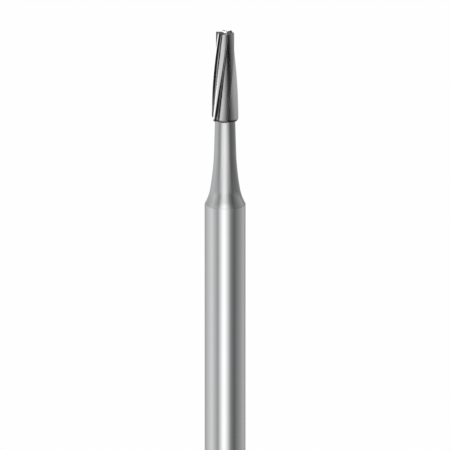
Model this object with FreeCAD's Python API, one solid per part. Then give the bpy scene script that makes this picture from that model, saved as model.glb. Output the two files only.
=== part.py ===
"""Dental bur for a straight handpiece: a fluted tungsten carbide head on a turned steel shank.

Frame: +Z runs along the bur from the shank's flat end to the cutting tip.
The origin is the centre of the shank's end face, and -Y is the side that faces the viewer.
"""

import FreeCAD, Part
import math
import os

Vector = FreeCAD.Vector
AXIS_POINT = Vector(0, 0, 0)
UP = Vector(0, 0, 1)

# Lengths in millimetres, measured along the bur
OVERALL_LENGTH = 44.5
HEAD_LENGTH = 5.2
NECK_LENGTH = 5.0

# Shank, gripped by the handpiece's collet
SHANK_D = 2.35
SHANK_END_CHAMFER = 0.25
SHOULDER_ROUND = 0.08

# Neck: a slim cone under the head, then a long and a short hollow arc that open to the shoulder
NECK_D = 1.16
NECK_CONE_ANGLE = 1.6
NECK_CONE_LENGTH = 1.8
FLARE_D = 1.71
FLARE_HEIGHT = 0.91

# Head: a tapered blank with the flutes ground into it
HEAD_BASE_D = 1.63
HEAD_TIP_D = 1.05
BACK_BEVEL_DEPTH = 0.09
BACK_BEVEL_HEIGHT = 0.14
BLADE_COUNT = 6
HELIX_ANGLE = 9.0
TIP_EDGE_AZIMUTH = -11.0
FLUTE_DEPTH_BASE = 0.215
FLUTE_DEPTH_TIP = 0.150
GULLET_RADIUS = 0.075
RELIEF_ANGLE = 18.0
MARGIN_WIDTH = 0.022

# End teeth: one sloping facet behind each blade's end edge, round a flat web
END_RELIEF_ANGLE = 14.0
END_WEB_D = 0.20

# Modelling values: how far cutters run past what they cut, the loft's sections, and a match
OVERRUN = 0.30
LOFT_SECTIONS = 11
SAME = 1e-6

# Heights along the bur that the pieces share
head_base_z = OVERALL_LENGTH - HEAD_LENGTH
shoulder_z = head_base_z - NECK_LENGTH
pitch = 2 * math.pi / BLADE_COUNT


def blank_radius(z):
    """Radius of the head's tapered blank at height z."""
    share = (z - head_base_z) / HEAD_LENGTH
    return (HEAD_BASE_D + share * (HEAD_TIP_D - HEAD_BASE_D)) / 2


def flute_depth(z):
    """Depth of the flutes below the blank at height z."""
    share = (z - head_base_z) / HEAD_LENGTH
    return FLUTE_DEPTH_BASE + share * (FLUTE_DEPTH_TIP - FLUTE_DEPTH_BASE)


def twist(z):
    """Azimuth of the first blade's edge at height z, in radians.

    The edge keeps one helix angle to the axis, so it turns faster where the head is slimmer.
    """
    mean_radius = (blank_radius(z) + blank_radius(OVERALL_LENGTH)) / 2
    turned = (z - OVERALL_LENGTH) * math.tan(math.radians(HELIX_ANGLE)) / mean_radius
    return math.radians(TIP_EDGE_AZIMUTH) + turned


def revolved(edges):
    """Solid turned from a closed outline in the XZ plane."""
    outline = Part.Face(Part.Wire(edges))
    return outline.revolve(AXIS_POINT, UP, 360)


def line(start, end):
    """Straight edge between two points."""
    return Part.LineSegment(start, end).toShape()


def downward(lean):
    """Unit direction in the XZ plane that leads down and leans outward by an angle."""
    return Vector(math.sin(lean), 0, -math.cos(lean))


def tangent_arc(start, lean, end):
    """Arc down the neck's outline that leaves its start with a given lean, and its last lean.

    The chord leans halfway between the two ends, and the arc's middle lies a quarter turn on.
    """
    chord = end - start
    turn = 2 * (math.atan2(chord.x, -chord.z) - lean)
    reach = chord.Length / (2 * math.cos(turn / 4))
    middle = start + downward(lean + turn / 4) * reach
    return Part.Arc(start, middle, end).toShape(), lean + turn


def make_shank():
    """Shank and neck, turned as one piece, with a flat end and a flat seat for the head."""
    shank_r = SHANK_D / 2
    lean = math.radians(NECK_CONE_ANGLE)
    seat_centre = Vector(0, 0, head_base_z)
    seat_rim = Vector(NECK_D / 2, 0, head_base_z)
    cone_end = seat_rim + downward(lean) * NECK_CONE_LENGTH
    flare = Vector(FLARE_D / 2, 0, shoulder_z + FLARE_HEIGHT)
    shoulder = Vector(shank_r, 0, shoulder_z)
    chamfer_top = Vector(shank_r, 0, SHANK_END_CHAMFER)
    end_rim = Vector(shank_r - SHANK_END_CHAMFER, 0, 0)
    long_arc, flare_lean = tangent_arc(cone_end, lean, flare)
    short_arc, _ = tangent_arc(flare, flare_lean, shoulder)
    turned = revolved(
        [
            line(seat_centre, seat_rim),
            line(seat_rim, cone_end),
            long_arc,
            short_arc,
            line(shoulder, chamfer_top),
            line(chamfer_top, end_rim),
            line(end_rim, AXIS_POINT),
            line(AXIS_POINT, seat_centre),
        ]
    )
    return turned.makeFillet(SHOULDER_ROUND, circles(turned, shoulder))


def circles(shape, point):
    """Circular edges of a turned shape that pass through a point of its outline."""
    return [
        edge
        for edge in shape.Edges
        if isinstance(edge.Curve, Part.Circle)
        and abs(edge.Curve.Center.z - point.z) < SAME
        and abs(edge.Curve.Radius - point.x) < SAME
    ]


def make_blank():
    """Tapered blank of the head, with its back edge bevelled."""
    bevel_z = head_base_z + BACK_BEVEL_HEIGHT
    outline = [
        Vector(0, 0, head_base_z),
        Vector(blank_radius(bevel_z) - BACK_BEVEL_DEPTH, 0, head_base_z),
        Vector(blank_radius(bevel_z), 0, bevel_z),
        Vector(HEAD_TIP_D / 2, 0, OVERALL_LENGTH),
        Vector(0, 0, OVERALL_LENGTH),
    ]
    return revolved([line(a, b) for a, b in zip(outline, outline[1:] + outline[:1])])


def polar(radius, azimuth):
    """Point in the XY plane at a radius and an azimuth in radians."""
    return Vector(radius * math.cos(azimuth), radius * math.sin(azimuth), 0)


def halfway(centre, radius, start, end):
    """Point of an arc midway between its two ends."""
    spread = (start - centre).normalize() + (end - centre).normalize()
    return centre + spread.normalize() * radius


def tooth_space(z):
    """Points of the outline from one blade's edge to the next at height z, with the edge on +X.

    The rake face is radial. The gullet is an arc tangent to it that reaches the core.
    The land is an arc tangent to the gullet that meets the blank's circle at the relief
    angle, one margin width behind the next blade's edge, and runs on to that blade's face.
    """
    outer = blank_radius(z)
    core = outer - flute_depth(z)
    foot = Vector(math.sqrt((core + GULLET_RADIUS) ** 2 - GULLET_RADIUS**2), 0, 0)
    gullet = foot + Vector(0, GULLET_RADIUS, 0)
    heel_azimuth = pitch - MARGIN_WIDTH / outer
    heel = polar(outer, heel_azimuth)
    normal = polar(1, heel_azimuth - math.radians(RELIEF_ANGLE))
    reach = heel - gullet
    land_radius = (reach.dot(reach) - GULLET_RADIUS**2) / (2 * (reach.dot(normal) + GULLET_RADIUS))
    land = heel - normal * land_radius
    gullet_end = gullet + (land - gullet).normalize() * GULLET_RADIUS

    along = land.dot(polar(1, pitch))
    tooth_radius = along + math.sqrt(land_radius**2 - land.dot(land) + along**2)
    edge = Vector(tooth_radius, 0, 0)
    next_edge = polar(tooth_radius, pitch)
    gullet_middle = halfway(gullet, GULLET_RADIUS, foot, gullet_end)
    land_middle = halfway(land, land_radius, gullet_end, next_edge)
    return edge, foot, gullet_middle, gullet_end, land_middle, next_edge


def fluted_section(z):
    """Closed outline of all the blades at height z, a little outside the blank at their edges."""
    edges = []
    for blade in range(BLADE_COUNT):
        turn = FreeCAD.Rotation(UP, math.degrees(twist(z) + blade * pitch))
        edge, foot, gullet_middle, gullet_end, land_middle, next_edge = (
            turn.multVec(point) + UP * z for point in tooth_space(z)
        )
        edges += [
            line(edge, foot),
            Part.Arc(foot, gullet_middle, gullet_end).toShape(),
            Part.Arc(gullet_end, land_middle, next_edge).toShape(),
        ]
    return Part.Wire(edges)


def make_fluted_bar():
    """Twisted, tapered bar with the blades' section, longer than the head at both ends."""
    low, high = head_base_z - OVERRUN, OVERALL_LENGTH + OVERRUN
    step = (high - low) / (LOFT_SECTIONS - 1)
    sections = [fluted_section(low + i * step) for i in range(LOFT_SECTIONS)]
    return Part.makeLoft(sections, True, False)


def make_end_cutter():
    """What is ground off behind one blade's end edge, for an edge on +X.

    Its floor holds that edge and the axis, and slopes down behind the edge at the end relief.
    It covers the blade's own sector of the end, and leaves the web round the axis standing.
    """
    slope = math.tan(math.radians(END_RELIEF_ANGLE))
    reach = HEAD_TIP_D
    front = Vector(reach, 0, 0)
    back = polar(reach, -pitch)
    corners = [
        Vector(corner.x, corner.y, OVERALL_LENGTH + corner.y * slope)
        for corner in (AXIS_POINT, front, front + back, back, AXIS_POINT)
    ]
    ground = Part.Face(Part.makePolygon(corners)).extrude(UP * reach)
    web_base = Vector(0, 0, OVERALL_LENGTH - reach)
    return ground.cut(Part.makeCylinder(END_WEB_D / 2, 2 * reach, web_base))


def make_head():
    """Cutting head: the blank, less what the flutes and the end teeth take away."""
    head = make_blank().common(make_fluted_bar())
    cutter = make_end_cutter()
    for blade in range(BLADE_COUNT):
        azimuth = TIP_EDGE_AZIMUTH + blade * 360 / BLADE_COUNT
        head = head.cut(cutter.rotated(AXIS_POINT, UP, azimuth))
    return head


def single_solid(shape, name):
    """The one valid solid that a node is made of."""
    if len(shape.Solids) != 1 or not shape.Solids[0].isValid():
        raise RuntimeError(f"{name} is not one valid solid")
    return shape.Solids[0]


def main():
    os.makedirs("parts", exist_ok=True)
    nodes = {"shank": make_shank(), "cutting_head": make_head()}
    for name, shape in nodes.items():
        solid = single_solid(shape, name)
        solid.exportStep(f"parts/{name}.step")
        print(f"{name}: {solid.Volume:.3f} mm3, {len(solid.Faces)} faces")


main()
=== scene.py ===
# %% [markdown]
# A dental bur is a small rotary cutter. Its head is sintered tungsten carbide with six helical
# blades ground into it, and it is brazed end to end onto a stainless steel shank that a
# straight handpiece grips. Both pieces are bare metal, so most of what the eye sees is the
# studio mirrored in them. This lesson builds the two surfaces from their formulas, gives each
# the finish of its grinding wheel, and then sets up the cards and lamps that they mirror.

import math

import bpy
import mathutils
import numpy as np
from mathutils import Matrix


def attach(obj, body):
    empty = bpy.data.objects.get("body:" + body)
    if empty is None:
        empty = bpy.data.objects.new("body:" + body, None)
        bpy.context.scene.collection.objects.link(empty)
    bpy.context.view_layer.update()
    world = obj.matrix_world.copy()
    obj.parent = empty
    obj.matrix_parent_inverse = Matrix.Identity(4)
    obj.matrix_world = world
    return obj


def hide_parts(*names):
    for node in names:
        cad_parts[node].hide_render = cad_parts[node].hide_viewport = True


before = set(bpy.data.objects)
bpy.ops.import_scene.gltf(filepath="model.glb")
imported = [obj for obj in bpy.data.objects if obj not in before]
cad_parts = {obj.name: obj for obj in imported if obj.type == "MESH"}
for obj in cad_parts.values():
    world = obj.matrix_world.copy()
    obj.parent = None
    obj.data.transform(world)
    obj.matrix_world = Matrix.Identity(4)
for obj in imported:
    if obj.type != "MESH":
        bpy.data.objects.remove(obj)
bpy.context.view_layer.update()

# %% [markdown]
# The drawing's values are in millimetres, as a toolmaker writes them. The whole bur stands on
# its shank's end with +Z along the axis, so each height is a distance from that end.

# %% Dimensions of the bur
OVERALL_LENGTH = 44.5
HEAD_LENGTH = 5.2
NECK_LENGTH = 5.0
HEAD_BASE_Z = OVERALL_LENGTH - HEAD_LENGTH
SHOULDER_Z = HEAD_BASE_Z - NECK_LENGTH

SHANK_RADIUS = 1.175
END_CHAMFER = 0.25
SHOULDER_ROUND = 0.08
NECK_RADIUS = 0.58
NECK_CONE_ANGLE = math.radians(1.6)
NECK_CONE_LENGTH = 1.8
FLARE_RADIUS = 0.855
FLARE_HEIGHT = 0.91

HEAD_BASE_RADIUS = 0.815
HEAD_TIP_RADIUS = 0.525
BACK_BEVEL_DEPTH = 0.09
BACK_BEVEL_HEIGHT = 0.14
BLADE_COUNT = 6
PITCH = 2 * math.pi / BLADE_COUNT
HELIX_ANGLE = math.radians(9.0)
TIP_EDGE_AZIMUTH = math.radians(-11.0)
FLUTE_DEPTH_BASE = 0.215
FLUTE_DEPTH_TIP = 0.150
GULLET_RADIUS = 0.075
RELIEF_ANGLE = math.radians(18.0)
MARGIN_WIDTH = 0.022
END_SLOPE = math.tan(math.radians(14.0))
WEB_RADIUS = 0.10
print(f"head from {HEAD_BASE_Z} to {OVERALL_LENGTH} mm, shoulder at {SHOULDER_Z} mm")

# %% [markdown]
# Both pieces are worked out as whole arrays of points. A grid of points needs the list of its
# four-sided faces, and a mesh needs its points in metres. One helper does each.


# %% From arrays to a mesh
def grid_quads(rows, columns):
    """Faces of a grid that closes on itself, each from a point, the next round, and those above."""
    row, column = np.mgrid[0 : rows - 1, 0:columns]
    after = (column + 1) % columns
    low, high = row * columns, (row + 1) * columns
    quads = np.stack([low + column, low + after, high + after, high + column], axis=-1)
    return quads.reshape(-1, 4)


def make_mesh_object(name, points_mm, faces):
    """Object at the origin with its place in its mesh, from points in millimetres."""
    mesh = bpy.data.meshes.new(name)
    mesh.from_pydata(points_mm * 0.001, [], faces)
    mesh.validate()
    made = bpy.data.objects.new(name, mesh)
    bpy.context.scene.collection.objects.link(made)
    return made


def carried_round(profile_mm, columns):
    """Points of a profile carried round the axis: x and y are radius times cosine and sine."""
    azimuth = np.arange(columns) * 2 * np.pi / columns
    radius, height = np.asarray(profile_mm).T[:, :, None]
    rounds = np.broadcast_arrays(radius * np.cos(azimuth), radius * np.sin(azimuth), height)
    return np.stack(rounds, axis=-1).reshape(-1, 3)


CREASE_ANGLE = math.radians(25)


def shade_with_creases(piece):
    """Smooth shading that breaks where two faces meet more sharply than the crease angle."""
    piece.data.shade_smooth()
    piece.data.set_sharp_from_angle(angle=CREASE_ANGLE)


def volume_mm3(piece):
    """Volume by the divergence theorem: a sixth of the sum of each triangle's triple product."""
    mesh = piece.data
    mesh.calc_loop_triangles()
    corners = np.empty(3 * len(mesh.loop_triangles), dtype=np.int32)
    mesh.loop_triangles.foreach_get("vertices", corners)
    points = np.empty(3 * len(mesh.vertices))
    mesh.vertices.foreach_get("co", points)
    a, b, c = np.moveaxis(1000 * points.reshape(-1, 3)[corners.reshape(-1, 3)], 1, 0)
    return float(np.einsum("ij,ij->i", a, np.cross(b, c)).sum() / 6)


# %% [markdown]
# The shank is one bar of stainless steel, turned on a lathe and ground between two wheels. A
# turned piece is a profile carried round an axis, so it could be a Screw modifier on a drawn
# line. Here the profile is worked out instead, because its hollow arcs and the rounded
# shoulder meet exactly tangent, and that is what keeps the highlights on the neck unbroken.


# %% Profile of the shank
SHANK_COLUMNS = 256
CYLINDER_POINTS = 60
ROUND_POINTS = 9
SHORT_ARC_POINTS = 24
LONG_ARC_POINTS = 30
CONE_POINTS = 16


def hollow_arc(start, lean, end):
    """Centre, radius and last lean of the arc that leaves start with a lean and reaches end.

    The lean is the outline's angle to the axis going down. The chord leans halfway between
    the first and the last lean. The centre lies outside the metal, at right angles to the
    outline, at the radius: half the chord over the sine of half the turn.
    """
    chord = end - start
    turn = 2 * (math.atan2(chord[0], -chord[1]) - lean)
    radius = np.hypot(*chord) / (2 * math.sin(turn / 2))
    return start + radius * facing(lean), radius, lean + turn


def facing(lean):
    """Direction square to an outline with a lean, away from the axis: its cosine and sine."""
    return np.stack([np.cos(lean), np.sin(lean)], axis=-1)


def shank_profile():
    """Radius and height of the outline, from the end face's rim up to the head's seat.

    Runs: chamfer, cylinder, rounded shoulder, two hollow arcs, slim cone. The round's centre
    is one round inside the cylinder and one radius plus one round from the arc's centre.
    """
    seat = np.array([NECK_RADIUS, HEAD_BASE_Z])
    along = np.array([math.sin(NECK_CONE_ANGLE), -math.cos(NECK_CONE_ANGLE)])
    cone_end = seat + along * NECK_CONE_LENGTH
    flare = np.array([FLARE_RADIUS, SHOULDER_Z + FLARE_HEIGHT])
    shoulder = np.array([SHANK_RADIUS, SHOULDER_Z])
    long_centre, long_radius, flare_lean = hollow_arc(cone_end, NECK_CONE_ANGLE, flare)
    short_centre, short_radius, _ = hollow_arc(flare, flare_lean, shoulder)

    round_x = SHANK_RADIUS - SHOULDER_ROUND
    drop = math.sqrt((short_radius + SHOULDER_ROUND) ** 2 - (short_centre[0] - round_x) ** 2)
    round_centre = np.array([round_x, short_centre[1] - drop])
    to_arc = short_centre - round_centre
    round_lean = math.atan2(to_arc[1], to_arc[0])
    chamfer_top = [SHANK_RADIUS, END_CHAMFER]
    cylinder_top = [SHANK_RADIUS, round_centre[1]]
    round_leans = np.linspace(0, round_lean, ROUND_POINTS)[1:]
    short_leans = np.linspace(round_lean, flare_lean, SHORT_ARC_POINTS)[1:]
    long_leans = np.linspace(flare_lean, NECK_CONE_ANGLE, LONG_ARC_POINTS)[1:]
    return np.concatenate(
        [
            [[SHANK_RADIUS - END_CHAMFER, 0.0], chamfer_top],
            np.linspace(chamfer_top, cylinder_top, CYLINDER_POINTS)[1:],
            round_centre + SHOULDER_ROUND * facing(round_leans),
            short_centre - short_radius * facing(short_leans),
            long_centre - long_radius * facing(long_leans),
            np.linspace(cone_end, seat, CONE_POINTS)[1:],
        ]
    )


def make_shank():
    """The profile carried round the axis, closed by the end face and the head's seat."""
    profile = shank_profile()
    first_row = np.arange(SHANK_COLUMNS)
    last_row = first_row + (len(profile) - 1) * SHANK_COLUMNS
    faces = grid_quads(len(profile), SHANK_COLUMNS).tolist()
    faces += [first_row[::-1].tolist(), last_row.tolist()]
    return make_mesh_object("turned_shank", carried_round(profile, SHANK_COLUMNS), faces)


shank = make_shank()
shade_with_creases(shank)
print(f"shank: {volume_mm3(shank):.3f} mm3, {len(shank.data.polygons)} faces")

# %% [markdown]
# The head starts as a slim carbide cone, and a diamond wheel grinds one space after another
# between its blades. Every height has the same outline, only smaller and turned a little
# further, so the surface is a function of two values: the station round the outline, and the
# height. A point of the outline is a complex number here, because a turn is then a product.


# %% The blank and its twist
def blank_radius(z):
    """Radius of the tapered blank: it falls evenly from the base to the tip."""
    share = (z - HEAD_BASE_Z) / HEAD_LENGTH
    return HEAD_BASE_RADIUS + share * (HEAD_TIP_RADIUS - HEAD_BASE_RADIUS)


def limit_radius(z):
    """The blank's radius, less what the bevel takes off its back edge."""
    bevel_z = HEAD_BASE_Z + BACK_BEVEL_HEIGHT
    below = np.maximum(bevel_z - z, 0) / BACK_BEVEL_HEIGHT
    return blank_radius(np.maximum(z, bevel_z)) - BACK_BEVEL_DEPTH * below


def mean_radius(z):
    """Mean radius of the blank between a height and the tip."""
    return (blank_radius(z) + HEAD_TIP_RADIUS) / 2


def twist_from_tip(z):
    """Turn of the blades at a height, against the tip: distance times helix slope over radius."""
    return (z - OVERALL_LENGTH) * math.tan(HELIX_ANGLE) / mean_radius(z)


turn_over_head = math.degrees(-twist_from_tip(HEAD_BASE_Z))
print(f"the blades turn {turn_over_head:.1f} degrees over the head")

# %% [markdown]
# Each space between two blades has four runs: the radial rake face, a small round gullet, the
# long back of the next blade, and the narrow margin that is left of the blank behind its
# edge. A station is the run's number plus the share of the run, so 2.5 is the middle of the
# blade's back.

# %% Outline of one tooth space
RAKE, GULLET, BACK, MARGIN = range(4)


def tooth_space(z, station):
    """Point of the outline as x + iy, with the blade's own edge on +X.

    The gullet's circle touches the rake face and the core. The back's circle touches the
    gullet's and crosses the blank at the relief angle, one margin behind the next edge. Where
    the bevel has cut the blank smaller, the back stops earlier, by the law of cosines.
    """
    share = station % 1
    outer, limit = blank_radius(z), limit_radius(z)
    depth_share = (z - HEAD_BASE_Z) / HEAD_LENGTH
    core = outer - FLUTE_DEPTH_BASE - depth_share * (FLUTE_DEPTH_TIP - FLUTE_DEPTH_BASE)
    foot = np.sqrt((core + GULLET_RADIUS) ** 2 - GULLET_RADIUS**2)
    gullet = foot + 1j * GULLET_RADIUS

    heel_azimuth = PITCH - MARGIN_WIDTH / outer
    heel = outer * np.exp(1j * heel_azimuth)
    normal = np.exp(1j * (heel_azimuth - RELIEF_ANGLE))
    reach = heel - gullet
    across = (reach * np.conj(normal)).real + GULLET_RADIUS
    back_radius = (np.abs(reach) ** 2 - GULLET_RADIUS**2) / (2 * across)
    back = heel - normal * back_radius

    gullet_start = 1.5 * np.pi
    gullet_stop = np.angle(back - gullet) % (2 * np.pi)
    back_start = np.angle(gullet - back)
    cosine = (limit**2 - np.abs(back) ** 2 - back_radius**2) / (2 * back_radius * np.abs(back))
    back_stop = np.angle(back) - np.arccos(cosine)
    margin_start = np.angle(back + back_radius * np.exp(1j * back_stop))

    rake_run = limit + share * (foot - limit)
    gullet_angle = gullet_start + share * (gullet_stop - gullet_start)
    gullet_run = gullet + GULLET_RADIUS * np.exp(1j * gullet_angle)
    back_run = back + back_radius * np.exp(1j * (back_start + share * (back_stop - back_start)))
    margin_run = limit * np.exp(1j * (margin_start + share * (PITCH - margin_start)))
    return np.choose(station.astype(int), [rake_run, gullet_run, back_run, margin_run])


# %% [markdown]
# The tip is ground too. Behind each blade's end edge a flat facet slopes down, until it meets
# the radial wall in front of the blade behind it. So each column of the surface stops at its
# own height, and since the blades turn with height, that height is found by asking again with
# the last answer until it stays the same. Only a small round web at the centre is left flat.


# %% Where each column ends
PASSES = 12
TRIAL_COLUMNS = 400
RAKE_COLUMNS = 6
GULLET_COLUMNS = 4
GULLET_END_COLUMNS = 9
BACK_COLUMNS = 36
MARGIN_COLUMNS = 3


def facet_height(point):
    """Height of the end facet over a point: it falls with the distance behind the end edge."""
    return OVERALL_LENGTH + END_SLOPE * (point * np.exp(-1j * PITCH)).imag


def column_tops(station):
    """Heights at which the columns leave the metal, and which of them end on the facet.

    A column ends where it meets the facet, or where it crosses the radial wall that stands
    over the rake face, whichever is higher. Columns of the rake face reach the tip.
    """
    facet = np.full(station.shape, OVERALL_LENGTH)
    wall = np.full(station.shape, OVERALL_LENGTH)
    for _ in range(PASSES):
        turned = tooth_space(facet, station) * np.exp(1j * twist_from_tip(facet))
        facet = facet_height(turned)
        azimuth = np.angle(tooth_space(wall, station))
        wall = OVERALL_LENGTH - azimuth * mean_radius(wall) / math.tan(HELIX_ANGLE)
        wall = np.maximum(wall, HEAD_BASE_Z)
    return facet, wall


def stations():
    """Stations of one tooth space, with one put where the wall and the facet meet."""
    trial = np.linspace(GULLET, BACK, TRIAL_COLUMNS, endpoint=False)
    facet, wall = column_tops(trial)
    corner = float(np.interp(0, facet - wall, trial))
    return np.concatenate(
        [
            RAKE + np.arange(RAKE_COLUMNS) / RAKE_COLUMNS,
            np.linspace(GULLET, corner, GULLET_COLUMNS + 1)[:-1],
            np.linspace(corner, BACK, GULLET_END_COLUMNS + 1)[:-1],
            BACK + np.arange(BACK_COLUMNS) / BACK_COLUMNS,
            MARGIN + np.arange(MARGIN_COLUMNS) / MARGIN_COLUMNS,
        ]
    ), corner


station, corner_station = stations()
facet_top, wall_top = column_tops(station)
top = np.where(station < GULLET, OVERALL_LENGTH, np.maximum(facet_top, wall_top))
print(f"{len(station)} columns a blade, facet down to {OVERALL_LENGTH - top.min():.3f} mm")


# %% The head's surface
BEVEL_ROWS = 3
FLUTE_ROWS = 80
WEB_POINTS = 6


def head_grid():
    """Points of the fluted surface, rows from the base up, and their heights.

    The first few rows cover the bevel. The others share out what is left of each column. Each
    blade is the first one's columns turned by one more pitch.
    """
    bevel_z = HEAD_BASE_Z + BACK_BEVEL_HEIGHT
    low = np.linspace(HEAD_BASE_Z, bevel_z, BEVEL_ROWS + 1)[:-1, None] + 0 * top
    high = bevel_z + np.linspace(0, 1, FLUTE_ROWS)[:, None] * (top - bevel_z)
    z = np.concatenate([low, high])
    first_azimuth = TIP_EDGE_AZIMUTH + twist_from_tip(z)
    point = tooth_space(z, station[None, :]) * np.exp(1j * first_azimuth)
    blades = [point * np.exp(1j * PITCH * blade) for blade in range(BLADE_COUNT)]
    return np.concatenate(blades, axis=1), np.tile(z, BLADE_COUNT)


def to_points(plane_point, z):
    """Rows of x, y, z from complex points and heights."""
    return np.stack([plane_point.real, plane_point.imag, z], axis=-1).reshape(-1, 3)


def tip_faces(blade, last_row, rim, sunk):
    """Facet, radial wall and web side in one blade's sector of the tip.

    The facet goes round the tooth, in along the next end edge and back round the web. The web's
    side joins its flat rim to the same rim sunk to the facet, and its last face is a triangle.
    """
    foot_column = int(np.searchsorted(station, GULLET))
    corner_column = int(np.searchsorted(station, corner_station - 1e-9))
    next_blade = (blade + 1) % BLADE_COUNT
    start = last_row + blade * len(station)
    after = last_row + next_blade * len(station)
    web_after = next_blade * WEB_POINTS
    side = range(blade * WEB_POINTS, (blade + 1) * WEB_POINTS)

    tooth = range(start + corner_column, start + len(station))
    end_edge = range(after, after + foot_column + 1)
    facet = [*tooth, *end_edge, rim[web_after], *[sunk[i] for i in side[::-1]]]
    wall_foot = range(start + foot_column, start + corner_column + 1)
    wall = [rim[side[0]], *wall_foot, sunk[side[0]]]
    web_side = [[sunk[i], sunk[i + 1], rim[i + 1], rim[i]] for i in side[:-1]]
    last_side = [sunk[side[-1]], rim[web_after], rim[side[-1]]]
    return [facet, wall, *web_side, last_side]


def make_head():
    """Fluted surface, closed by a base, six facets, six radial walls and the web."""
    plane_point, z = head_grid()
    rows, columns = z.shape
    web_count = BLADE_COUNT * WEB_POINTS
    web_azimuth = np.arange(web_count) * PITCH / WEB_POINTS
    web = WEB_RADIUS * np.exp(1j * (TIP_EDGE_AZIMUTH + web_azimuth))
    in_sector = np.tile(WEB_RADIUS * np.exp(1j * web_azimuth[:WEB_POINTS]), BLADE_COUNT)
    points = np.concatenate(
        [
            to_points(plane_point, z),
            to_points(web, np.full(web.shape, OVERALL_LENGTH)),
            to_points(web, facet_height(in_sector)),
        ]
    )
    rim = [*range(rows * columns, rows * columns + web_count)]
    sunk = [index + web_count for index in rim]

    quads = grid_quads(rows, columns).tolist()
    base = np.arange(columns)[::-1].tolist()
    ends = []
    for blade in range(BLADE_COUNT):
        ends += tip_faces(blade, (rows - 1) * columns, rim, sunk)
    return make_mesh_object("fluted_head", points, [*quads, base, *ends, rim]), len(quads)


head, head_quads = make_head()
print(f"head: {volume_mm3(head):.3f} mm3, {len(head.data.polygons)} faces")

# %% [markdown]
# The finishes need to know where they are on the piece. The grinding lines on the head follow
# the flutes, and no straight coordinate does, so the head carries its own UV map in
# millimetres: u runs across the blades and v runs along them. On the end facets, u and v are
# x and y.


# %% UV map of the head, in millimetres
MIDDLE_ROW = 40
# Shares of painted shade: at the rake face's top, the lighter painted glint along the gullet's
# floor, and how fast the shade fades up the back.
RAKE_TOP_SHADE = 0.65
GULLET_FLOOR_GLINT = 0.8
BACK_SHADE_SHARE = 12


def unwrap_head(piece, quads):
    """Gives each face's corners their place: across and along the flutes, or flat on the ends.

    On the fluted grid, u is the summed distance round the outline at half height and v is the
    height. Elsewhere u and v are x and y, so lines there are straight.
    """
    mesh = piece.data
    points = np.empty(3 * len(mesh.vertices))
    mesh.vertices.foreach_get("co", points)
    points = 1000 * points.reshape(-1, 3)
    corners = np.empty(len(mesh.loops), dtype=np.int32)
    mesh.loops.foreach_get("vertex_index", corners)

    columns = BLADE_COUNT * len(station)
    middle = MIDDLE_ROW * columns + np.arange(columns)
    outline = points[np.append(middle, middle[0])]
    steps = np.linalg.norm(np.diff(outline, axis=0), axis=1)
    across = np.concatenate([[0], np.cumsum(steps)])
    uv = points[corners][:, :2].copy()
    column = np.arange(quads) % columns
    left, right = across[column], across[column + 1]
    uv[: 4 * quads, 0] = np.stack([left, right, right, left], axis=-1).ravel()
    uv[: 4 * quads, 1] = points[corners[: 4 * quads], 2]
    mesh.uv_layers.new(name="grinding").data.foreach_set("uv", uv.ravel())
    return across[-1]


def paint_shade_in_flutes(piece):
    """Paints shade into the flutes: 1 beside the gullet's floor and on the bevel, 0 on the backs.

    It rises down the rake face with the share of the run, dips as a sine does along the gullet's
    floor, which paints a lighter glint line there, and falls with the square of what is left of a
    twelfth of the back.
    """
    rake = RAKE_TOP_SHADE + (1 - RAKE_TOP_SHADE) * station
    floor = 1 - GULLET_FLOOR_GLINT * np.sin(np.pi * np.clip(station - GULLET, 0, 1))
    back = np.clip(1 - BACK_SHADE_SHARE * (station - BACK), 0, 1) ** 2
    depth = np.where(station < GULLET, rake, np.where(station < BACK, floor, back))
    values = np.zeros(len(piece.data.vertices))
    grid_points = head_quads + len(station) * BLADE_COUNT
    values[:grid_points] = np.tile(depth, grid_points // len(station))
    # The bevel, which faces down, gets full painted shade.
    values[: BEVEL_ROWS * len(station) * BLADE_COUNT] = 1
    shade_marks = piece.data.attributes.new(name="flute_painted_shade", type="FLOAT", domain="POINT")
    shade_marks.data.foreach_set("value", values)


# Paints shade into the gullets and on the bevel, with a lighter painted glint along each gullet's
# floor.
paint_shade_in_flutes(head)
girth = unwrap_head(head, head_quads)
shade_with_creases(head)
print(f"outline of the head at half height: {girth:.2f} mm round")

# %% [markdown]
# Node materials are written with one helper that adds a node, sets it and wires it. Colours
# are written as the eye sees them, in sRGB hex, and turned to the linear light that the
# renderer counts in.


# %% Colour and node helpers
def linear(code):
    """Linear red, green, blue and alpha of an sRGB hex colour, by the sRGB curve."""
    value = np.array([int(code[i : i + 2], 16) for i in (1, 3, 5)]) / 255
    curve = np.where(value <= 0.04045, value / 12.92, ((value + 0.055) / 1.055) ** 2.4)
    return (*curve.tolist(), 1.0)


def add_node(tree, kind, inputs=None, **settings):
    """Adds a node with its settings. Each input takes a value, or another node's output."""
    node = tree.nodes.new(kind)
    for name, value in settings.items():
        setattr(node, name, value)
    for name, value in (inputs or {}).items():
        if isinstance(value, bpy.types.NodeSocket):
            tree.links.new(value, node.inputs[name])
        else:
            node.inputs[name].default_value = value
    return node


def mixed(tree, share, first, second):
    """Colour between two colours: the first at a share of 0, the second at 1."""
    inputs = {"Factor": share, "A": first, "B": second}
    return add_node(tree, "ShaderNodeMix", inputs, data_type="RGBA").outputs["Result"]


def calculated(tree, operation, first, second):
    """One number worked out from two."""
    return add_node(tree, "ShaderNodeMath", {0: first, 1: second}, operation=operation).outputs[0]


def ranged(tree, value, start, stop, low, high, **settings):
    """Change from low to high while a value goes from start to stop."""
    inputs = {"Value": value, "From Min": start, "From Max": stop, "To Min": low, "To Max": high}
    return add_node(tree, "ShaderNodeMapRange", inputs, **settings).outputs["Result"]


def new_material(name):
    """Material with an empty node tree, and that tree."""
    material = bpy.data.materials.new(name)
    material.use_nodes = True
    material.node_tree.nodes.clear()
    return material, material.node_tree


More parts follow.
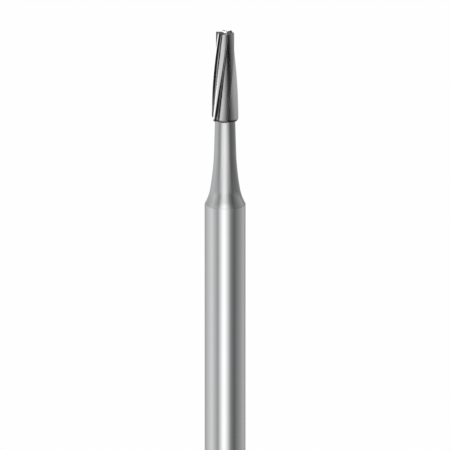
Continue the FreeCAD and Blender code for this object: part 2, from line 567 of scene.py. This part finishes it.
def set_stops(ramp_node, stops, interpolation="EASE"):
    """Replaces a colour ramp's stops by pairs of a position and a hex colour."""
    ramp = ramp_node.color_ramp
    ramp.interpolation = interpolation
    while len(ramp.elements) > 1:
        ramp.elements.remove(ramp.elements[-1])
    for index, (position, code) in enumerate(stops):
        element = ramp.elements[0] if index == 0 else ramp.elements.new(position)
        element.position = position
        element.color = linear(code)


# %% [markdown]
# The shank is stainless steel, ground between two wheels and then polished, so it mirrors the
# studio in clean bands. What the wheels leave are very fine lines round the bar, which blur a
# reflection along the axis far more than across it. The real lines are too fine for the
# picture, so coarser ones are drawn instead, about 0.08 mm apart and very faint.

# %% Centreless-ground, polished stainless steel
STEEL = "#CBCCCE"
STEEL_WARM = "#C7C7C7"
STEEL_ROUGHNESS = (0.10, 0.14)
LINE_SPACING_MM = 0.08
LINE_CHANGES_PER_M = 150
PATCHES_PER_M = 260.0


def ground_steel():
    """Polished steel: roughness and a trace of relief follow the lines round the bar."""
    material, tree = new_material("centreless_ground_stainless_steel")
    place = add_node(tree, "ShaderNodeTexCoord").outputs["Object"]
    scale = (LINE_CHANGES_PER_M, LINE_CHANGES_PER_M, 1000 / LINE_SPACING_MM)
    line_place = add_node(tree, "ShaderNodeMapping", {"Vector": place, "Scale": scale})
    lines = add_node(
        tree, "ShaderNodeTexNoise", {"Vector": line_place.outputs[0], "Scale": 1.0, "Detail": 2.0}
    )
    patches = add_node(
        tree, "ShaderNodeTexNoise", {"Vector": place, "Scale": PATCHES_PER_M, "Detail": 3.0}
    )
    roughness = ranged(tree, lines.outputs["Fac"], 0.3, 0.7, *STEEL_ROUGHNESS)
    tone = mixed(tree, patches.outputs["Fac"], linear(STEEL), linear(STEEL_WARM))
    relief = add_node(
        tree,
        "ShaderNodeBump",
        {"Height": lines.outputs["Fac"], "Strength": 0.04, "Distance": 0.00001},
    )
    round_bar = add_node(tree, "ShaderNodeTangent", direction_type="RADIAL", axis="Z")
    shader = add_node(
        tree,
        "ShaderNodeBsdfPrincipled",
        {
            "Base Color": tone,
            "Metallic": 1.0,
            "Roughness": roughness,
            "Anisotropic": 0.5,
            "Tangent": round_bar.outputs["Tangent"],
            "Normal": relief.outputs["Normal"],
        },
    )
    add_node(tree, "ShaderNodeOutputMaterial", {"Surface": shader.outputs["BSDF"]})
    return material


shank.data.materials.append(ground_steel())
print("shank finish:", shank.data.materials[0].name)

# %% [markdown]
# The head is sintered tungsten carbide, a darker and slightly duller metal than steel. A
# diamond wheel has ground every face of it, and its grit leaves straight streaks along each
# flute. Real streaks are finer than this. Here they are drawn 0.07 mm wide, so that a few
# of them show across each blade's back. A fine mottle stands for the sintered grain. The
# gullets and the bevel get painted shade, with a lighter painted glint along each gullet's floor.

# %% Flute-ground tungsten carbide
CARBIDE_LIGHT = "#C4C4C5"
CARBIDE_DARK = "#909092"
# Grey of the painted shade in the gullets and on the bevel.
FLUTE_PAINTED_SHADE = "#5C5C5E"
STREAK_WIDTH_MM = 0.07
STREAK_LENGTH_MM = 2.5
GRAINS_PER_MM = 18.0
CARBIDE_ROUGHNESS = (0.14, 0.24)


def ground_carbide():
    """Satin carbide: tone, roughness and relief follow the wheel's streaks; the flutes get painted
    shade.
    """
    material, tree = new_material("flute_ground_tungsten_carbide")
    place = add_node(tree, "ShaderNodeUVMap", uv_map="grinding").outputs["UV"]
    scale = (1 / STREAK_WIDTH_MM, 1 / STREAK_LENGTH_MM, 1)
    streak_place = add_node(tree, "ShaderNodeMapping", {"Vector": place, "Scale": scale})
    streaks = add_node(
        tree,
        "ShaderNodeTexNoise",
        {"Vector": streak_place.outputs[0], "Scale": 1.0, "Detail": 3.0, "Roughness": 0.6},
        noise_dimensions="2D",
    )
    grain = add_node(
        tree,
        "ShaderNodeTexNoise",
        {"Vector": place, "Scale": GRAINS_PER_MM, "Detail": 4.0},
        noise_dimensions="2D",
    )
    ground = mixed(tree, streaks.outputs["Fac"], linear(CARBIDE_DARK), linear(CARBIDE_LIGHT))
    # Painted shade: the flute marks mix the tone toward a dark grey in the gullets and on the
    # bevel.
    depth = add_node(tree, "ShaderNodeAttribute", attribute_name="flute_painted_shade").outputs["Fac"]
    tone = mixed(tree, depth, ground, linear(FLUTE_PAINTED_SHADE))
    grit = calculated(tree, "ADD", streaks.outputs["Fac"], grain.outputs["Fac"])
    roughness = ranged(tree, grit, 0.7, 1.3, *CARBIDE_ROUGHNESS)
    relief = add_node(
        tree,
        "ShaderNodeBump",
        {"Height": streaks.outputs["Fac"], "Strength": 0.4, "Distance": 0.00001},
    )
    shader = add_node(
        tree,
        "ShaderNodeBsdfPrincipled",
        {
            "Base Color": tone,
            "Metallic": 1.0,
            "Roughness": roughness,
            "Normal": relief.outputs["Normal"],
        },
    )
    add_node(tree, "ShaderNodeOutputMaterial", {"Surface": shader.outputs["BSDF"]})
    return material


head.data.materials.append(ground_carbide())
print("head finish:", head.data.materials[0].name)

# %% [markdown]
# The two surfaces stand for the two solids, which stay in the mechanical model. Neither piece
# moves against the other, so both ride on the one body.

# %% Tie the pieces to the model
for piece, node, slot in (
    (shank, "shank", "shank_steel"),
    (head, "cutting_head", "head_carbide"),
):
    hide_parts(node)
    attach(piece, "root")
    print(piece.name, "stands for", node)

# %% [markdown]
# A polished bar shows nothing but its surroundings, so its picture is made with cards. Seen
# from the front, a round bar mirrors the whole room once, squeezed sideways: its middle shows
# what is behind the camera, and its edges what is behind the bar. A tall round wall of cards
# stands about the shank: a soft card on the left, a narrow bright strip in front, a dark gap
# right of it, and a grey card on the right. The cards run on over the floor to the bur's foot,
# because from higher up the shank mirrors what lies round it. Only mirrored rays see them.


# %% Cards that only mirrored rays see
WALL_COLUMNS = 96


def hide_from_all_but_mirrors(card):
    """Leaves a card visible to mirrored rays alone."""
    card.visible_camera = False
    card.visible_diffuse = False
    card.visible_shadow = False
    card.visible_transmission = False


def round_wall(name, profile_mm):
    """Open wall about the axis: pairs of a radius and a height carried round it."""
    quads = grid_quads(len(profile_mm), WALL_COLUMNS).tolist()
    wall = make_mesh_object(name, carried_round(profile_mm, WALL_COLUMNS), quads)
    hide_from_all_but_mirrors(wall)
    return wall


def tones_by_azimuth(tree, stops):
    """Colour of a wall by azimuth in degrees: 0 is in front, 90 is on the right."""
    place = add_node(tree, "ShaderNodeTexCoord").outputs["Object"]
    axes = add_node(tree, "ShaderNodeSeparateXYZ", {"Vector": place})
    forward = calculated(tree, "MULTIPLY", axes.outputs["Y"], -1.0)
    azimuth = calculated(tree, "ARCTAN2", axes.outputs["X"], forward)
    share = ranged(tree, azimuth, -math.pi, math.pi, 0.0, 1.0)
    ramp = add_node(tree, "ShaderNodeValToRGB", {"Fac": share})
    set_stops(ramp, [((degrees + 180) / 360, code) for degrees, code in stops], "LINEAR")
    return ramp.outputs["Color"]


def fade(tree, length, span_mm, low=0.0, high=1.0):
    """Smooth change from low to high while a length in metres goes over a span in millimetres."""
    start, stop = (edge * 0.001 for edge in span_mm)
    return ranged(tree, length, start, stop, low, high, interpolation_type="SMOOTHSTEP")


def glow(material, color, strength):
    """Makes a card's material shine with a colour at a strength, for mirrored rays to find."""
    tree = material.node_tree
    shine = add_node(tree, "ShaderNodeEmission", {"Color": color, "Strength": strength})
    add_node(tree, "ShaderNodeOutputMaterial", {"Surface": shine.outputs["Emission"]})
    material.cycles.emission_sampling = "NONE"


# %% [markdown]
# The cards are plain greys, each given by the tone that the polished steel should show, and they
# shine brighter than that by what the steel swallows. The neck looks at the wall's middle
# heights, where the strip is wider and the right side darker. The flared shoulder looks higher
# up, and there the wall returns to the shank's cards. Each card stands where it puts its band
# where the photograph shows one, so from other sides the same cards are only a plain studio.

# %% Tall wall about the shank
SHANK_TONES = [
    (-180, "#707070"),
    (-80, "#D0D0D0"),
    (-40, "#909090"),
    (-12, "#FFFFFF"),
    (0, "#FFFFFF"),
    (30, "#808080"),
    (50, "#585858"),
    (120, "#A8A8A8"),
    (180, "#707070"),
]
NECK_TONES = [
    (-180, "#989898"),
    (-105, "#B8B8B8"),
    (-55, "#888888"),
    (-30, "#E0E0E0"),
    (0, "#F0F0F0"),
    (55, "#585858"),
    (85, "#606060"),
    (180, "#909090"),
]
STEEL_LOSS = 1.7
TO_NECK_MM = (28.5, 31.5)
PAST_NECK_MM = (32.5, 38.5)
DIMMING_MM = (27.5, 42.0)
BRIGHTENING_MM = (46.0, 50.0)
DIM_SHARE = 0.76
BRIGHT_SHARE = 1.28
SHANK_WALL_MM = [(1.6, 0.3), (25.0, 0.3), (25.0, 70.0)]


def shank_card_light():
    """Tones by azimuth, changing with height from the shank's set to the neck's and back."""
    material, tree = new_material("graded_shank_cards")
    place = add_node(tree, "ShaderNodeTexCoord").outputs["Object"]
    height = add_node(tree, "ShaderNodeSeparateXYZ", {"Vector": place}).outputs["Z"]
    to_neck = fade(tree, height, TO_NECK_MM)
    past_neck = fade(tree, height, PAST_NECK_MM, 1.0, 0.0)
    share = calculated(tree, "MULTIPLY", to_neck, past_neck)
    shank_tone = tones_by_azimuth(tree, SHANK_TONES)
    tone = mixed(tree, share, shank_tone, tones_by_azimuth(tree, NECK_TONES))
    dimmer = fade(tree, height, DIMMING_MM, STEEL_LOSS, DIM_SHARE * STEEL_LOSS)
    brighter = fade(tree, height, BRIGHTENING_MM, 1.0, BRIGHT_SHARE)
    glow(material, tone, calculated(tree, "MULTIPLY", dimmer, brighter))
    return material


shank_wall = round_wall("shank_cards", SHANK_WALL_MM)
shank_wall.data.materials.append(shank_card_light())
print("tones about the shank:", len(SHANK_TONES), "and about the neck:", len(NECK_TONES))

# %% [markdown]
# The head has a round tray of cards of its own, level with it: dark right in front, which gives
# each ground face its contrast, and light at the sides. The tray has a floor too, because the
# blades' faces lean forward and so look down. The flared shoulder looks up at the floor's
# underside, so that side carries on the tones of the tall wall.

# %% Tray of cards about the head
LOW_HEAD_TONES = [
    (-180, "#FFFFFF"),
    (-140, "#FFFFFF"),
    (-100, "#B8B8B8"),
    (-70, "#C8C8C8"),
    (-15, "#404040"),
    (20, "#383838"),
    (70, "#989898"),
    (180, "#A8A8A8"),
]
HIGH_HEAD_TONES = [
    (-168, "#202020"),
    (-158, "#E0E0E0"),
    (-60, "#C8C8C8"),
    (-10, "#080808"),
    (10, "#000000"),
    (60, "#707070"),
    (150, "#989898"),
    (168, "#202020"),
]
CARBIDE_LOSS = 2.46
LOW_TO_HIGH_MM = (39.6, 41.8)
TRAY_CENTRE = (0, 0, 0.039)
OUTER_REACH_MM = (7.5, 10.0)
NEAR_SHARE = 0.97
HEAD_TRAY_MM = [(1.5, 39.12), (14.0, 39.15), (14.0, 47.0)]


def head_card_light():
    """Inside, the head's tones, from the low set to the high set. Outside, the shank's tones.

    The outside grows dimmer with the distance from the head's base, as the tall wall does with
    height.
    """
    material, tree = new_material("graded_head_cards")
    place = add_node(tree, "ShaderNodeTexCoord").outputs["Object"]
    height = add_node(tree, "ShaderNodeSeparateXYZ", {"Vector": place}).outputs["Z"]
    reach = add_node(
        tree, "ShaderNodeVectorMath", {0: place, 1: TRAY_CENTRE}, operation="DISTANCE"
    ).outputs["Value"]
    low_tone = tones_by_azimuth(tree, LOW_HEAD_TONES)
    high_tone = tones_by_azimuth(tree, HIGH_HEAD_TONES)
    walls = mixed(tree, fade(tree, height, LOW_TO_HIGH_MM), low_tone, high_tone)
    inside = add_node(tree, "ShaderNodeNewGeometry").outputs["Backfacing"]
    tone = mixed(tree, inside, tones_by_azimuth(tree, SHANK_TONES), walls)
    near, far = NEAR_SHARE * STEEL_LOSS, DIM_SHARE * STEEL_LOSS
    outer = fade(tree, reach, OUTER_REACH_MM, near, far)
    glow(material, tone, ranged(tree, inside, 0.0, 1.0, outer, CARBIDE_LOSS))
    return material


head_tray = round_wall("head_cards", HEAD_TRAY_MM)
head_tray.data.materials.append(head_card_light())
print("tones about the head:", len(LOW_HEAD_TONES), "low and", len(HIGH_HEAD_TONES), "high")

# %% [markdown]
# The small faces on the tip look up and back over the tray's rim. A dark card hangs there, and
# a narrow bright one in front of it, which only the flat web at the tip's centre mirrors.


# %% Cards behind the tip
def back_card(name, half_width, low, high, depth, code, strength):
    """Upright card behind the bur, in millimetres, with one tone."""
    corners = [[-half_width, low], [half_width, low], [half_width, high], [-half_width, high]]
    points = np.insert(np.array(corners), 1, depth, axis=1)
    card = make_mesh_object(name, points, [[0, 1, 2, 3]])
    hide_from_all_but_mirrors(card)
    material, _ = new_material(name + "_tone")
    glow(material, linear(code), strength)
    card.data.materials.append(material)
    return card


WEB_CARD_SHARE = 1.6
dark_card = back_card(
    "dark_back_card",
    half_width=8.0,
    low=46.2,
    high=66.0,
    depth=15.0,
    code="#5A5A5A",
    strength=CARBIDE_LOSS,
)
web_card = back_card(
    "web_card",
    half_width=2.2,
    low=47.0,
    high=50.5,
    depth=14.8,
    code="#FFFFFF",
    strength=WEB_CARD_SHARE * CARBIDE_LOSS,
)
print("cards behind the tip:", dark_card.name, web_card.name)

# %% [markdown]
# The floor is plain and pale. It is lit by two large soft lamps, so it keeps the bur's soft
# shadow, and part of its white is its own, seen by the camera and in mirrors alone.


# %% Floor, world and lamps
PAPER = "#E6E6E6"
PAPER_GLOW = 0.55
PAPER_FADE_MM = (30.0, 58.0)
FLOOR_HALF_MM = 4000.0
DIM_SKY = 0.5
LAMP_AIM_MM = (0, 0, 20)
LAMP_SIZE_MM = 320


def white_to_the_eye(tree):
    """1 for a ray from the camera, from a mirror or through glass, and 0 for any other."""
    rays = add_node(tree, "ShaderNodeLightPath").outputs
    seen = calculated(tree, "MAXIMUM", rays["Is Camera Ray"], rays["Is Glossy Ray"])
    return calculated(tree, "MAXIMUM", seen, rays["Is Transmission Ray"])


def floor_paper():
    """Matt paper that is lit near the bur, and fades to the backdrop's white away from it."""
    material, tree = new_material("matt_white_paper")
    eye = white_to_the_eye(tree)
    matt = add_node(tree, "ShaderNodeBsdfDiffuse", {"Color": linear(PAPER)})
    share = calculated(tree, "MULTIPLY", eye, PAPER_GLOW)
    own = add_node(tree, "ShaderNodeEmission", {"Color": linear("#FFFFFF"), "Strength": share})
    near = add_node(tree, "ShaderNodeAddShader", {0: matt.outputs[0], 1: own.outputs[0]})
    far = add_node(tree, "ShaderNodeEmission", {"Color": linear("#FEFEFE"), "Strength": eye})
    place = add_node(tree, "ShaderNodeTexCoord").outputs["Object"]
    reach = add_node(tree, "ShaderNodeVectorMath", {0: place}, operation="LENGTH")
    away = fade(tree, reach.outputs["Value"], PAPER_FADE_MM)
    paper = add_node(
        tree, "ShaderNodeMixShader", {0: away, 1: near.outputs[0], 2: far.outputs[0]}
    )
    add_node(tree, "ShaderNodeOutputMaterial", {"Surface": paper.outputs[0]})
    return material


corners_mm = FLOOR_HALF_MM * np.array([[-1, -1, 0], [1, -1, 0], [1, 1, 0], [-1, 1, 0]])
floor = make_mesh_object("floor", corners_mm, [[0, 1, 2, 3]])
floor.data.materials.append(floor_paper())

world = bpy.data.worlds.new("white_backdrop")
bpy.context.scene.world = world
world.use_nodes = True
world.node_tree.nodes.clear()
sky_tree = world.node_tree
brightness = ranged(sky_tree, white_to_the_eye(sky_tree), 0.0, 1.0, DIM_SKY, 1.0)
white = {"Color": linear("#FFFFFF"), "Strength": brightness}
sky = add_node(sky_tree, "ShaderNodeBackground", white)
add_node(sky_tree, "ShaderNodeOutputWorld", {"Surface": sky.outputs[0]})


def soft_lamp(name, place_mm, watts):
    """Square area lamp at a place, turned to face the bur, that no mirror shows."""
    data = bpy.data.lights.new(name, "AREA")
    data.shape = "SQUARE"
    data.size = LAMP_SIZE_MM * 0.001
    data.energy = watts
    lamp = bpy.data.objects.new(name, data)
    bpy.context.scene.collection.objects.link(lamp)
    from_aim = np.array(place_mm) - np.array(LAMP_AIM_MM)
    lamp.location = np.array(place_mm) * 0.001
    lamp.rotation_euler = mathutils.Vector(from_aim).to_track_quat("Z", "Y").to_euler()
    lamp.visible_glossy = False
    return lamp


left_lamp = soft_lamp("left_soft_lamp", (-260, -200, 420), 0.9)
right_lamp = soft_lamp("right_soft_lamp", (300, -60, 380), 0.5)
print("lamps:", left_lamp.data.energy, "and", right_lamp.data.energy, "W")

# %% [markdown]
# The photograph looks down on the bur by about sixteen degrees: the head's round base shows
# its curve, and the flat end shows as a thin ellipse. The picture has next to no perspective,
# so a very long lens stands far back.

# %% Camera
FRAME_WIDTH_MM = 25.815
CAMERA_ELEVATION = math.radians(16.0)
LENS_MM = 1200.0
SENSOR_MM = 36.0
distance_mm = FRAME_WIDTH_MM * LENS_MM / SENSOR_MM
aim_mm = np.array([-0.006, 0.0, 33.03])
toward_camera = np.array([0.0, -math.cos(CAMERA_ELEVATION), math.sin(CAMERA_ELEVATION)])
camera_data = bpy.data.cameras.new("long_lens")
camera_data.lens = LENS_MM
camera_data.sensor_width = SENSOR_MM
camera_data.clip_start = 0.01
camera_data.clip_end = 20.0
camera = bpy.data.objects.new("camera", camera_data)
bpy.context.scene.collection.objects.link(camera)
camera.location = (aim_mm + distance_mm * toward_camera) * 0.001
camera.rotation_euler = mathutils.Vector(toward_camera).to_track_quat("Z", "Y").to_euler()
bpy.context.scene.camera = camera
bpy.context.scene.view_settings.view_transform = "Standard"
print(f"camera {distance_mm:.1f} mm away")
